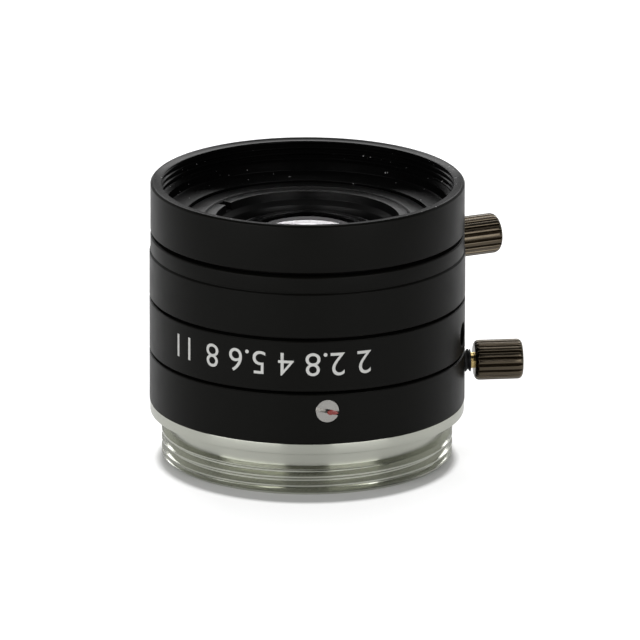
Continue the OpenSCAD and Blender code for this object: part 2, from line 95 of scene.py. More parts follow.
@dataclass(frozen=True)
class Finish:
    """A finish with grain, turning lines and worn specks from Object coordinates."""

    name: str
    colour: tuple[float, float, float]
    roughness: float
    metallic: float = 0.0
    specular: float = 0.5
    tint: tuple[float, float, float] = (1.0, 1.0, 1.0)
    transmission: float = 0.0
    ior: float = 1.5
    coat: float = 0.0
    anisotropy: float = 0.0
    grain: float = 0.0
    grain_per_mm: float = 9.0
    lines: float = 0.0
    lines_per_mm: float = 14.0
    mottle: float = 0.0
    specks: float = 0.0

    def material(self) -> bpy.types.Material:
        """Builds the node material once and returns it.

        Returns:
            The Blender material of this finish.
        """
        found = bpy.data.materials.get(self.name)
        if found:
            return found
        made = bpy.data.materials.new(self.name)
        made.use_nodes = True
        tree = made.node_tree
        shader = tree.nodes["Principled BSDF"]
        shader.inputs["Base Color"].default_value = (*self.colour, 1.0)
        shader.inputs["Roughness"].default_value = self.roughness
        shader.inputs["Metallic"].default_value = self.metallic
        shader.inputs["Specular IOR Level"].default_value = self.specular
        shader.inputs["Specular Tint"].default_value = (*self.tint, 1.0)
        shader.inputs["Transmission Weight"].default_value = self.transmission
        shader.inputs["IOR"].default_value = self.ior
        shader.inputs["Coat Weight"].default_value = self.coat
        shader.inputs["Coat Roughness"].default_value = 0.08
        shader.inputs["Anisotropic"].default_value = self.anisotropy
        shader.inputs["Anisotropic Rotation"].default_value = 0.25
        if self.anisotropy > 0.0:
            around = tree.nodes.new("ShaderNodeTangent")
            around.direction_type = "RADIAL"
            around.axis = "Z"
            tree.links.new(around.outputs["Tangent"], shader.inputs["Tangent"])
        place = tree.nodes.new("ShaderNodeTexCoord").outputs["Object"]
        if self.mottle > 0.0:
            self._mottle(tree, shader, place)
        if self.specks > 0.0:
            self._specks(tree, shader, place)
        if self.grain > 0.0 or self.lines > 0.0:
            self._relief(tree, shader, place)
        return made

    def _noise(self, tree: bpy.types.NodeTree, place: bpy.types.NodeSocket,
               per_mm: tuple[float, float, float], detail: float) -> bpy.types.NodeSocket:
        """Adds a noise whose cells are stretched by a Mapping node.

        Args:
            tree: The material's nodes.
            place: The coordinates to read.
            per_mm: Cells per millimetre along each axis.
            detail: The noise's detail.

        Returns:
            The noise's value socket.
        """
        mapping = tree.nodes.new("ShaderNodeMapping")
        mapping.inputs["Scale"].default_value = tuple(v / MM for v in per_mm)
        noise = tree.nodes.new("ShaderNodeTexNoise")
        noise.inputs["Scale"].default_value = 1.0
        noise.inputs["Detail"].default_value = detail
        tree.links.new(place, mapping.inputs["Vector"])
        tree.links.new(mapping.outputs["Vector"], noise.inputs["Vector"])
        return noise.outputs["Fac"]

    def _ramp(self, tree: bpy.types.NodeTree, value: bpy.types.NodeSocket,
              low: float, high: float) -> bpy.types.NodeSocket:
        """Maps a value from low..high to 0..1 and returns the clamped socket."""
        ramp = tree.nodes.new("ShaderNodeMapRange")
        ramp.inputs["From Min"].default_value = low
        ramp.inputs["From Max"].default_value = high
        tree.links.new(value, ramp.inputs["Value"])
        return ramp.outputs["Result"]

    def _mottle(self, tree: bpy.types.NodeTree, shader: bpy.types.Node,
                place: bpy.types.NodeSocket) -> None:
        """Varies the roughness softly over a few millimetres."""
        value = self._noise(tree, place, (0.6, 0.6, 0.6), 3.0)
        spread = tree.nodes.new("ShaderNodeMapRange")
        spread.inputs["From Min"].default_value = 0.3
        spread.inputs["From Max"].default_value = 0.7
        spread.inputs["To Min"].default_value = self.roughness * (1.0 - self.mottle)
        spread.inputs["To Max"].default_value = self.roughness * (1.0 + self.mottle)
        tree.links.new(value, spread.inputs["Value"])
        tree.links.new(spread.outputs["Result"], shader.inputs["Roughness"])

    def _specks(self, tree: bpy.types.NodeTree, shader: bpy.types.Node,
                place: bpy.types.NodeSocket) -> None:
        """Mixes small pale dust specks into the colour."""
        value = self._noise(tree, place, (3.2, 3.2, 3.2), 1.0)
        mask = self._ramp(tree, value, 0.80 - 0.06 * self.specks, 0.84)
        mix = tree.nodes.new("ShaderNodeMix")
        mix.data_type = "RGBA"
        mix.inputs["A"].default_value = (*self.colour, 1.0)
        mix.inputs["B"].default_value = (0.42, 0.42, 0.42, 1.0)
        tree.links.new(mask, mix.inputs["Factor"])
        tree.links.new(mix.outputs["Result"], shader.inputs["Base Color"])

    def _relief(self, tree: bpy.types.NodeTree, shader: bpy.types.Node,
                place: bpy.types.NodeSocket) -> None:
        """Adds a bump of isotropic grain and of turning lines round the axis."""
        bump = tree.nodes.new("ShaderNodeBump")
        bump.inputs["Distance"].default_value = 0.004 * MM
        if self.lines > 0.0:
            value = self._noise(tree, place, (0.02, 0.02, self.lines_per_mm), 2.0)
            bump.inputs["Strength"].default_value = self.lines
        else:
            value = self._noise(tree, place, (self.grain_per_mm,) * 3, 2.0)
            bump.inputs["Strength"].default_value = self.grain
        tree.links.new(value, bump.inputs["Height"])
        tree.links.new(bump.outputs["Normal"], shader.inputs["Normal"])


ANODISED = Finish("black_anodised_finish", (0.0034, 0.0034, 0.0028), 0.33, specular=0.085, grain=0.5,
                  mottle=0.08)
INNER = Finish("black_inner_finish", (0.004, 0.004, 0.004), 0.5, specular=0.2, grain=0.3, mottle=0.15)
HOOD = Finish("hood_black_finish", (0.002, 0.002, 0.002), 0.22, specular=0.045, mottle=0.1, specks=0.7)
CELL = Finish("grey_cell_finish", (0.004, 0.004, 0.004), 0.34, specular=0.15, grain=0.25, mottle=0.12)
BRIGHT = Finish("bright_aluminium_finish", (0.52, 0.53, 0.47), 0.20, metallic=1.0, lines=0.25,
                anisotropy=0.85)
BRASS = Finish("brass_finish", (0.66, 0.50, 0.22), 0.26, metallic=1.0, mottle=0.2)
STEEL = Finish("steel_finish", (0.42, 0.41, 0.39), 0.30, metallic=1.0, mottle=0.4)
NICKEL = Finish("dark_nickel_finish", (0.095, 0.078, 0.056), 0.20, metallic=1.0, mottle=0.3)
DARK_STEEL = Finish("dark_screw_finish", (0.05, 0.05, 0.05), 0.34, metallic=0.6)
NYLON = Finish("nylon_finish", (0.72, 0.71, 0.66), 0.5)
BLADE = Finish("blade_steel_finish", (0.030, 0.029, 0.028), 0.42, metallic=0.7)
PAINT = Finish("white_paint_finish", (0.56, 0.56, 0.54), 0.55, mottle=0.1)
LACQUER = Finish("red_lacquer_finish", (0.22, 0.03, 0.025), 0.22, coat=0.3)
GLASS = Finish("coated_glass_finish", (0.98, 0.98, 1.0), 0.0, transmission=1.0, ior=1.52,
               tint=(1.0, 0.90, 1.0))
GLASS_EDGE = Finish("blackened_edge_finish", (0.012, 0.011, 0.012), 0.5)


# Meshes worked out as arrays


@dataclass
class Shell:
    """Vertices in millimetres and faces of four corners."""

    points: np.ndarray
    faces: np.ndarray

    def __add__(self, other: "Shell") -> "Shell":
        """Joins two shells into one list of points and faces."""
        return Shell(
            np.concatenate([self.points, other.points]),
            np.concatenate([self.faces, other.faces + len(self.points)]),
        )


def grid(points: np.ndarray, wrap_rows: bool = False, wrap_columns: bool = False) -> Shell:
    """Makes quads between neighbours of a grid of points.

    Args:
        points: Array of rows by columns by three.
        wrap_rows: Whether the last row joins the first.
        wrap_columns: Whether the last column joins the first.

    Returns:
        The shell of the grid.
    """
    rows, columns = points.shape[:2]
    index = np.arange(rows * columns).reshape(rows, columns)
    if wrap_rows:
        index = np.concatenate([index, index[:1]], axis=0)
    if wrap_columns:
        index = np.concatenate([index, index[:, :1]], axis=1)
    quads = np.stack([index[:-1, :-1], index[:-1, 1:], index[1:, 1:], index[1:, :-1]], axis=-1)
    return Shell(points.reshape(-1, 3), quads.reshape(-1, 4))


def revolve(radius: np.ndarray, height: np.ndarray, angle: np.ndarray) -> np.ndarray:
    """Turns radius and height about Z: (r cos a, r sin a, z) for each angle a.

    Args:
        radius: Radii, one per row or rows by columns.
        height: Heights, the same shape.
        angle: Angles in radians, one per column.

    Returns:
        Points, rows by columns by three.
    """
    if radius.ndim == 1:
        radius = np.repeat(radius[:, None], len(angle), axis=1)
        height = np.repeat(height[:, None], len(angle), axis=1)
    return np.stack([radius * np.cos(angle), radius * np.sin(angle), height], axis=-1)


def softened(corners: list[tuple[float, float, float]], steps: int = 4) -> np.ndarray:
    """Rounds the corners of a closed outline.

    Each corner is cut back along both sides by its reach and replaced by a
    quadratic curve: (1-t)^2 a + 2t(1-t) corner + t^2 b.

    Args:
        corners: (radius, height, reach) of each corner; a reach of 0 keeps it sharp.
        steps: Segments in each rounded corner.

    Returns:
        The outline as an array of (radius, height).
    """
    table = np.array(corners, float)
    spot = table[:, :2]
    before = np.roll(spot, 1, axis=0) - spot
    after = np.roll(spot, -1, axis=0) - spot
    outline = []
    for corner, back, ahead, reach in zip(spot, before, after, table[:, 2]):
        if reach <= 0.0:
            outline.append(corner[None])
            continue
        a = corner + back / np.linalg.norm(back) * min(reach, 0.49 * np.linalg.norm(back))
        b = corner + ahead / np.linalg.norm(ahead) * min(reach, 0.49 * np.linalg.norm(ahead))
        t = np.linspace(0.0, 1.0, steps + 1)[:, None]
        outline.append((1 - t) ** 2 * a + 2 * t * (1 - t) * corner + t ** 2 * b)
    return np.concatenate(outline)


def lathe(corners: list[tuple[float, float, float]], columns: int = COLUMNS) -> Shell:
    """Turns a closed outline with softened corners about Z."""
    outline = softened(corners)
    angle = np.linspace(0.0, TURN, columns, endpoint=False)
    return grid(revolve(outline[:, 0], outline[:, 1], angle), wrap_rows=True, wrap_columns=True)


@dataclass(frozen=True)
class Thread:
    """A helical thread between two heights, cut from a crest to a root radius."""

    start: float
    end: float
    crest: float
    root: float
    pitch: float
    crest_share: float = 0.22
    root_share: float = 0.12
    per_pitch: int = 10
    runout: float = 0.3

    def rows(self, angle: np.ndarray) -> tuple[np.ndarray, np.ndarray]:
        """Works out the thread's rows along the helix.

        Row k is at the height start + (k / per_pitch + angle / turn) * pitch, held
        between start and end. The radius goes from crest to root by a trapezoid in
        the row's phase, and fades to the crest near both ends.

        Args:
            angle: Angles in radians from 0 to a full turn, both included.

        Returns:
            Radii and heights, rows by columns.
        """
        turns = abs(self.end - self.start) / self.pitch
        count = int(math.ceil((turns + 1.0) * self.per_pitch)) + 1
        phase = np.arange(count) / self.per_pitch
        along = phase[:, None] - 1.0 + angle[None, :] / TURN
        reach = np.clip(along, 0.0, turns)
        height = self.start + np.sign(self.end - self.start) * reach * self.pitch
        tooth = np.abs(((phase + 0.5) % 1.0) - 0.5) * 2.0
        depth = np.clip((tooth - self.crest_share) / (1.0 - self.crest_share - self.root_share), 0, 1)
        fade = np.clip(np.minimum(reach, turns - reach) / self.runout, 0.0, 1.0)
        return self.crest + (self.root - self.crest) * depth[:, None] * fade, height


def threaded_lathe(before: np.ndarray, thread: Thread, after: np.ndarray,
                   columns: int = COLUMNS) -> Shell:
    """Turns a closed outline that has a helical thread between two stretches.

    Args:
        before: Outline (radius, height) up to the thread's start.
        thread: The thread.
        after: Outline from the thread's end back round to the first point.
        columns: Steps round the axis.

    Returns:
        The shell, open only at a seam that merging closes.
    """
    angle = np.linspace(0.0, TURN, columns + 1)
    radius, height = thread.rows(angle)
    flat = np.ones_like(angle)
    radius = np.concatenate([before[:, :1] * flat, radius, after[:, :1] * flat])
    height = np.concatenate([before[:, 1:] * flat, height, after[:, 1:] * flat])
    return grid(revolve(radius, height, angle), wrap_rows=True)


@dataclass(frozen=True)
class Hole:
    """A round radial hole in a turned ring."""

    azimuth: float
    height: float
    radius: float
    floor: float
    edge: float = 0.05


@dataclass
class DrilledWall:
    """A cylinder wall with round holes, and the rest of the ring's outline.

    Around each hole a square patch of the wall's grid is left out and filled with
    rows that blend from the square to the circle: p = circle + w (square - circle),
    lifted onto the cylinder by u = sqrt(R^2 - v^2). The hole goes on inwards to a
    closed floor.
    """

    radius: float
    low: float
    high: float
    rest: np.ndarray
    holes: list[Hole]
    patch_low: float
    patch_high: float
    side: int = 16
    rings: int = 5

    def shell(self) -> Shell:
        """Builds the whole ring.

        Returns:
            The closed shell once its doubles are merged.
        """
        half = (self.patch_high - self.patch_low) / 2.0
        angles, spans = self._columns(half)
        inside = np.linspace(self.patch_low, self.patch_high, self.side + 1)
        heights = np.concatenate([[self.low], inside, [self.high]])
        outline = np.concatenate(
            [np.stack([np.full(len(heights), self.radius), heights], axis=1), self.rest])
        points = revolve(outline[:, 0], outline[:, 1], angles)
        whole = grid(points, wrap_rows=True, wrap_columns=True)
        columns = len(angles)
        row, column = np.divmod(np.arange(len(whole.faces)), columns)
        keep = np.ones(len(whole.faces), bool)
        for first in spans:
            keep &= ~((row >= 1) & (row < 1 + self.side) & (column >= first)
                      & (column < first + self.side))
        shell = Shell(whole.points, whole.faces[keep])
        for hole in self.holes:
            shell = shell + self._patch(hole, half, inside)
        return shell

    def _columns(self, half: float) -> tuple[np.ndarray, list[int]]:
        """Places the columns so that each patch has its own even ones.

        Args:
            half: Half of the patch's side.

        Returns:
            The angles, and the first column of each patch.
        """
        across = np.arcsin(np.linspace(-half, half, self.side + 1) / self.radius)
        centres = sorted(math.radians(h.azimuth) % TURN for h in self.holes)
        angles: list[np.ndarray] = []
        spans: list[int] = []
        total = 0
        for number, centre in enumerate(centres):
            follow = centres[(number + 1) % len(centres)] + (TURN if number + 1 == len(centres) else 0)
            patch = centre + across
            gap_end = follow + across[0]
            steps = max(int((gap_end - patch[-1]) / TURN * COLUMNS), 2)
            spans.append(total)
            between = np.linspace(patch[-1], gap_end, steps + 1)[1:-1]
            angles += [patch, between]
            total += len(patch) + len(between)
        return np.concatenate(angles), spans

    def _patch(self, hole: Hole, half: float, inside: np.ndarray) -> Shell:
        """Fills the square round one hole and lines the hole.

        Args:
            hole: The hole.
            half: Half of the patch's side.
            inside: The patch's row heights.

        Returns:
            The shell of the patch, the hole's wall and its floor.
        """
        across = np.linspace(-half, half, self.side + 1)
        up = inside
        square = np.concatenate([
            np.stack([across[:-1], np.full(self.side, up[0])], axis=1),
            np.stack([np.full(self.side, across[-1]), up[:-1]], axis=1),
            np.stack([across[:0:-1], np.full(self.side, up[-1])], axis=1),
            np.stack([np.full(self.side, across[0]), up[:0:-1]], axis=1),
        ])
        away = square - np.array([0.0, hole.height])
        unit = away / np.linalg.norm(away, axis=1, keepdims=True)
        centre = np.array([0.0, hole.height])
        mouth = centre + unit * (hole.radius + hole.edge)
        weight = np.linspace(1.0, 0.0, self.rings + 1)[:, None, None]
        flat = mouth + weight * (square - mouth)
        lift = np.sqrt(self.radius ** 2 - flat[..., 0] ** 2)
        neck = centre + unit * hole.radius
        neck_lift = np.sqrt(self.radius ** 2 - neck[:, 0] ** 2) - hole.edge
        rows = [np.stack([lift[i], flat[i, :, 0], flat[i, :, 1]], axis=-1) for i in range(len(flat))]
        rows.append(np.stack([neck_lift, neck[:, 0], neck[:, 1]], axis=-1))
        depth = np.full(len(neck), hole.floor)
        rows.append(np.stack([depth, neck[:, 0], neck[:, 1]], axis=-1))
        rows.append(np.stack([depth, np.zeros(len(neck)), np.full(len(neck), hole.height)], axis=-1))
        local = np.stack(rows)
        turn = math.radians(hole.azimuth)
        placed = np.stack([
            local[..., 0] * math.cos(turn) - local[..., 1] * math.sin(turn),
            local[..., 0] * math.sin(turn) + local[..., 1] * math.cos(turn),
            local[..., 2],
        ], axis=-1)
        return grid(placed, wrap_columns=True)


def radial_place(shell: Shell, azimuth: float, height: float) -> Shell:
    """Lays a shell built along +Z onto a radius: z becomes outwards, x down, y sideways."""
    turn = math.radians(azimuth)
    x, y, z = shell.points.T
    moved = np.stack([
        z * math.cos(turn) - y * math.sin(turn),
        z * math.sin(turn) + y * math.cos(turn),
        height - x,
    ], axis=1)
    return Shell(moved, shell.faces)


def add_piece(name: str, shell: Shell, finish: Finish, body: Body,
              nodes: tuple[str, ...] = (), sharp: float = SHARP_DEG) -> bpy.types.Object:
    """Puts a shell into the scene as one piece.

    Args:
        name: The piece's name.
        shell: Its points and faces.
        finish: Its finish.
        body: The body it rides on.
        nodes: The CAD nodes it stands for.
        sharp: Angle in degrees above which an edge stays sharp.

    Returns:
        The new object.
    """
    mesh = bpy.data.meshes.new(name)
    mesh.from_pydata((shell.points * MM).tolist(), [], shell.faces.tolist())
    work = bmesh.new()
    work.from_mesh(mesh)
    bmesh.ops.remove_doubles(work, verts=work.verts, dist=MERGE_MM * MM)
    bmesh.ops.dissolve_degenerate(work, edges=work.edges, dist=MERGE_MM * MM)
    bmesh.ops.recalc_face_normals(work, faces=work.faces)
    work.to_mesh(mesh)
    work.free()
    mesh.shade_smooth()
    mesh.set_sharp_from_angle(angle=math.radians(sharp))
    mesh.materials.append(finish.material())
    piece = bpy.data.objects.new(name, mesh)
    bpy.context.scene.collection.objects.link(piece)
    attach(piece, body.value)
    if nodes:
        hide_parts(*nodes)
    log.info("%s: %d faces on %s", name, len(mesh.polygons), body.value)
    return piece


def extent(node: str) -> tuple[float, float, float]:
    """Reads a CAD node's reach at rest.

    Args:
        node: The node's name.

    Returns:
        Half its width along Y, its lowest and its highest point, in millimetres.
    """
    low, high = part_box(node)
    return (high[1] - low[1]) / 2 / MM, low[2] / MM, high[2] / MM


# The lens


@dataclass
class MountRing:
    """The bright mount ring: threaded end, bare neck, flange and inner sleeve."""

    thread_r: float = 12.685
    thread_root: float = 12.2
    pitch: float = 25.4 / 32
    neck_r: float = 12.1
    bore: float = 11.43
    flange_r: float = 13.7
    seat: float = 4.0
    flange_top: float = 4.95
    neck_from: float = 2.45
    sleeve_r: float = 12.29
    sleeve_top: float = 6.34

    def build(self) -> None:
        """Makes the ring with its real 32-per-inch thread."""
        thread = Thread(0.24, 2.36, self.thread_r, self.thread_root, self.pitch,
                        crest_share=0.16, root_share=0.16, per_pitch=12, runout=0.35)
        before = np.array([(self.bore, 0.12), (self.bore + 0.12, 0.0),
                           (self.thread_r - 0.27, 0.0), (self.thread_r - 0.24, 0.01)])
        after = softened([
            (self.neck_r, self.neck_from, 0.05),
            (self.neck_r, self.seat, 0.06),
            (self.flange_r, self.seat, 0.07),
            (self.flange_r, self.flange_top, 0.04),
            (self.sleeve_r, self.flange_top, 0.0),
            (self.sleeve_r, self.sleeve_top, 0.0),
            (self.bore, self.sleeve_top, 0.0),
        ])
        shell = threaded_lathe(before, thread, after)
        add_piece("mount_ring", shell, BRIGHT, Body.MOUNT, ("c_mount_ring",))
        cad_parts["guide_pin"].data.materials[0] = STEEL.material()
        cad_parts["focus_retaining_ring"].data.materials[0] = BRASS.material()


@dataclass
class FocusGroup:
    """The rear black ring with its nut, set screws and thumbscrew hole."""

    bore: float = 12.76
    chamfer: float = 0.09
    screw_azimuth: float = -82.6
    screw_height: float = 7.93
    screw_r: float = 1.0
    lock_azimuth: float = 6.5
    lock_height: float = 7.85

    def build(self) -> None:
        """Makes the ring and dresses the nut, the screws and the lacquer."""
        radius, low, high = extent("focus_ring")
        c = self.chamfer
        rest = softened([
            (radius - c * 0.4, high - c * 0.4, 0.03),
            (radius - c, high, 0.03),
            (self.bore, high, 0.0),
            (self.bore, low + 0.6, 0.0),
            (12.36, low + 0.6, 0.0),
            (12.36, low, 0.0),
            (radius - c, low, 0.03),
            (radius - c * 0.4, low + c * 0.4, 0.03),
        ])
        screws = [Hole(self.screw_azimuth + 120 * k, self.screw_height, self.screw_r + 0.03, 12.9)
                  for k in range(3)]
        lock = Hole(self.lock_azimuth, self.lock_height, 1.06, 13.2)
        wall = DrilledWall(radius, low + c, high - c, rest, [*screws, lock],
                           self.lock_height - 1.35, self.lock_height + 1.35)
        add_piece("focus_ring_dressed", wall.shell(), ANODISED, Body.FOCUS,
                  ("focus_ring",))
        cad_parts["helicoid_nut"].data.materials[0] = BRASS.material()
        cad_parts["focus_set_screws"].data.materials[0] = STEEL.material()
        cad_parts["focus_lock_pad"].data.materials[0] = NYLON.material()
        self._lacquer(radius)

    def _lacquer(self, radius: float) -> None:
        """Makes the red lacquer on the right half of the front screw.

        A dome over half a disc: height = thickness (1 - rho^2), with rho the distance
        from the blob's centre over its ragged edge.
        """
        around = np.linspace(0.0, TURN, 48, endpoint=False)
        across = np.linspace(1.0, 0.0, 7)
        ragged = 0.46 + 0.05 * np.sin(3 * around + 0.4) + 0.03 * np.sin(7 * around)
        x = 0.16 + across[:, None] * ragged * 0.55 * np.sin(around)
        y = 0.42 + across[:, None] * ragged * 1.05 * np.cos(around)
        z = radius - 0.06 + 0.035 * (1.0 - across[:, None] ** 2) * np.ones_like(around)
        shell = grid(np.stack([x, y, z], axis=-1), wrap_columns=True)
        placed = radial_place(shell, self.screw_azimuth, self.screw_height)
        add_piece("screw_lacquer", placed, LACQUER, Body.FOCUS)


@dataclass
class ScaleSleeve:
    """The fixed sleeve with the aperture numbers and the deep set screw."""

    bore: float = 11.96
    spigot: float = 12.9
    chamfer: float = 0.09
    hole_azimuth: float = -10.0
    hole_height: float = 11.45
    hole_r: float = 1.05
    numbers: tuple[str, ...] = ("2", "2.8", "4", "5.6", "8", "11")
    first_azimuth: float = 21.0
    last_azimuth: float = -51.0
    digit_height: float = 2.1
    digit_middle: float = 12.15
    lift: float = 0.006

    def build(self) -> None:
        """Makes the sleeve and its numbers."""
        radius, low, high = extent("scale_sleeve")
        edge = high - 0.22
        c = self.chamfer
        rest = softened([
            (radius - c * 0.4, edge - c * 0.4, 0.03),
            (radius - c, edge, 0.03),
            (self.spigot, edge, 0.0),
            (self.spigot, high, 0.0),
            (self.bore, high, 0.0),
            (self.bore, low, 0.0),
            (radius - c, low, 0.03),
            (radius - c * 0.4, low + c * 0.4, 0.03),
        ])
        hole = Hole(self.hole_azimuth, self.hole_height, self.hole_r, self.bore + 0.3, 0.07)
        wall = DrilledWall(radius, low + c, edge - c, rest, [hole],
                           self.hole_height - 1.4, self.hole_height + 1.4)
        add_piece("scale_sleeve_dressed", wall.shell(), ANODISED, Body.OPTICS,
                  ("scale_sleeve",))
        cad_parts["scale_set_screw"].data.materials[0] = DARK_STEEL.material()
        self._numbers(radius)

    def _numbers(self, radius: float) -> None:
        """Writes the aperture numbers upside down round the sleeve.

        Flat outlines are cut into narrow upright strips and bent onto the cylinder:
        x becomes the angle x / R and y the height.
        """
        work = bmesh.new()
        places = np.linspace(self.first_azimuth, self.last_azimuth, len(self.numbers))
        for text, azimuth in zip(self.numbers, places):
            curve = bpy.data.curves.new("numbers", "FONT")
            curve.body = text
            curve.size = self.digit_height / 0.7
            curve.align_x = "CENTER"
            curve.resolution_u = 8
            curve.offset = -0.012
            holder = bpy.data.objects.new("numbers", curve)
            flat = bpy.data.meshes.new_from_object(holder)
            flat.transform(Matrix.Translation((-math.radians(azimuth) * radius, 0.0, 0.0)))
            work.from_mesh(flat)
            bpy.data.objects.remove(holder)
            bpy.data.curves.remove(curve)
            bpy.data.meshes.remove(flat)
        bmesh.ops.remove_doubles(work, verts=work.verts, dist=1e-5)
        reach = max(abs(v.co.x) for v in work.verts) + 0.2
        for cut in np.arange(-reach, reach, 0.3):
            bmesh.ops.bisect_plane(work, geom=[*work.verts, *work.edges, *work.faces],
                                   plane_co=(cut, 0, 0), plane_no=(1, 0, 0))
        mesh = bpy.data.meshes.new("aperture_numbers")
        work.to_mesh(mesh)
        work.free()
        flat = np.empty(len(mesh.vertices) * 3)
        mesh.vertices.foreach_get("co", flat)
        flat = flat.reshape(-1, 3)
        angle = -flat[:, 0] / radius - math.pi / 2
        lifted = radius + self.lift
        bent = np.stack([
            lifted * np.cos(angle), lifted * np.sin(angle),
            self.digit_middle + self.digit_height / 2 - flat[:, 1],
        ], axis=1) * MM
        mesh.vertices.foreach_set("co", bent.ravel())
        mesh.update()
        mesh.materials.append(PAINT.material())
        piece = bpy.data.objects.new("aperture_numbers", mesh)
        bpy.context.scene.collection.objects.link(piece)
        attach(piece, Body.OPTICS.value)
        log.info("aperture_numbers: %d faces", len(mesh.polygons))


@dataclass
class IrisRing:
    """The iris ring with its stepped front part and the drive screw behind."""

    bore: float = 12.01
    chamfer: float = 0.09
    step_back: float = 1.46
    front_r: float = 13.67
    drive_azimuth: float = 120.0
    drive_rise: float = 1.2
    drive_r: float = 0.8

    def build(self) -> None:
        """Makes the ring and dresses the parts that turn with it."""
        radius, low, high = extent("iris_ring")
        c = self.chamfer
        step = high - self.step_back
        rest = softened([
            (radius - 0.015, step - 0.14, 0.02),
            (self.front_r - 0.09, step - 0.02, 0.02),
            (self.front_r - 0.09, step + 0.03, 0.01),
            (self.front_r, step + 0.07, 0.02),
            (self.front_r, high - c, 0.03),
            (self.front_r - c, high, 0.03),
            (self.bore, high, 0.0),
            (self.bore, low, 0.0),
            (radius - c, low, 0.03),
            (radius - c * 0.4, low + c * 0.4, 0.03),
        ])
        height = low + self.drive_rise
        hole = Hole(self.drive_azimuth, height, self.drive_r + 0.03, self.bore + 0.2)
        wall = DrilledWall(radius, low + c, step - 0.16, rest, [hole], height - 1.08, height + 1.08)
        add_piece("iris_ring_dressed", wall.shell(), ANODISED, Body.IRIS,
                  ("iris_ring",))
        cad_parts["iris_drive_screw"].data.materials[0] = STEEL.material()
        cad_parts["iris_cam_ring"].data.materials[0] = BRASS.material()
        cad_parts["iris_lock_pad"].data.materials[0] = NYLON.material()
        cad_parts["iris_base"].data.materials[0] = INNER.material()
        for number in range(1, 7):
            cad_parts[f"iris_blade_{number}"].data.materials[0] = BLADE.material()


@dataclass
class FrontBarrel:
    """The front barrel: outer wall, bright rim, filter thread and inner funnel."""

    spigot: float = 12.9
    thread_crest: float = 12.73
    thread_root: float = 13.0
    pitch: float = 0.5
    rim_inner: float = 13.35
    chamfer: float = 0.09

    def build(self) -> None:
        """Makes the barrel with its real filter thread."""
        radius, low, high = extent("front_barrel")
        wall_from = low + 0.3
        c = self.chamfer
        before = softened([
            (11.51, low, 0.0),
            (self.spigot, low, 0.0),
            (self.spigot, wall_from, 0.0),
            (radius - c, wall_from, 0.03),
            (radius, wall_from + c, 0.03),
            (radius, high - 0.17, 0.04),
            (radius - 0.17, high, 0.05),
            (self.rim_inner, high, 0.04),
            (self.thread_root + 0.02, high - 0.12, 0.0),
        ])
        thread = Thread(high - 0.13, high - 1.78, self.thread_crest, self.thread_root, self.pitch,
                        crest_share=0.18, root_share=0.1, per_pitch=10, runout=0.15)
        after = softened([
            (12.28, high - 1.88, 0.03),
            (12.25, high - 2.68, 0.06),
            (10.70, high - 3.12, 0.05),
            (10.70, high - 3.44, 0.0),
            (11.51, high - 3.44, 0.0),
        ])
        add_piece("front_barrel_dressed", threaded_lathe(before, thread, after), HOOD, Body.OPTICS,
                  ("front_barrel",))
        self._skin(radius, wall_from, high)

    def _skin(self, radius: float, low: float, high: float) -> None:
        """Gives the outside its own satin finish by faces that look outwards."""
        piece = bpy.data.objects["front_barrel_dressed"]
        mesh = piece.data
        mesh.materials.append(ANODISED.material())
        centre = np.empty(len(mesh.polygons) * 3)
        mesh.polygons.foreach_get("center", centre)
        centre = centre.reshape(-1, 3) / MM
        outside = (np.hypot(centre[:, 0], centre[:, 1]) > radius - 0.12) & (centre[:, 2] > low)
        mesh.polygons.foreach_set("material_index", outside.astype(np.int32))


@dataclass
class FrontOptics:
    """The front cell, its retaining ring with spanner notches and the front spacer."""

    cell_r: float = 10.4
    ring_r: float = 8.85
    lip_r: float = 8.0
    clear_r: float = 7.35
    notch_azimuth: float = 150.0
    notch_half: float = 0.5
    notch_depth: float = 0.6

    def build(self) -> None:
        """Makes the cell and the ring."""
        _, low, high = extent("front_cell")
        cell = lathe([
            (self.cell_r, low + 0.65, 0.0),
            (self.cell_r, high, 0.05),
            (self.ring_r + 0.2, high, 0.03),
            (self.ring_r + 0.02, high - 0.16, 0.0),
            (self.ring_r + 0.02, high - 2.18, 0.0),
            (8.21, high - 2.18, 0.0),
            (8.21, low + 1.46, 0.0),
            (5.6, low + 1.46, 0.0),
            (5.6, low, 0.0),
            (8.8, low, 0.0),
            (8.8, low + 0.65, 0.0),
        ])
        add_piece("front_cell_dressed", cell, CELL, Body.OPTICS, ("front_cell",))
        self._ring()
        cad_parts["front_spacer"].data.materials[0] = INNER.material()

    def _ring(self) -> None:
        """Makes the retaining ring: a turned outline whose top drops in each notch.

        The height is held to top - depth where the angle is within the notch.
        """
        _, _, top = extent("front_retaining_ring")
        outline = softened([
            (self.ring_r, top - 2.1, 0.0),
            (self.ring_r, top, 0.06),
            (self.lip_r, top, 0.05),
            (self.lip_r - 0.08, top - 0.73, 0.03),
            (self.lip_r - 0.5, top - 1.13, 0.03),
            (self.clear_r, top - 1.70, 0.0),
            (self.clear_r, top - 1.80, 0.0),
        ])
        half = self.notch_half / self.ring_r
        tiny = 1e-4
        edges = np.concatenate([
            math.radians(self.notch_azimuth + turn) + np.array([-half - tiny, -half, half, half + tiny])
            for turn in (0.0, 180.0)]) % TURN
        angle = np.unique(np.concatenate([np.linspace(0.0, TURN, COLUMNS, endpoint=False), edges]))
        points = revolve(outline[:, 0], outline[:, 1], angle)
        away = np.abs(((angle - math.radians(self.notch_azimuth) + math.pi / 2) % math.pi) - math.pi / 2)
        notch = away < half + tiny / 2
        points[:, notch, 2] = np.minimum(points[:, notch, 2], top - self.notch_depth)
        shell = grid(points, wrap_rows=True, wrap_columns=True)
        add_piece("front_retaining_ring_dressed", shell, CELL, Body.OPTICS,
                  ("front_retaining_ring",))


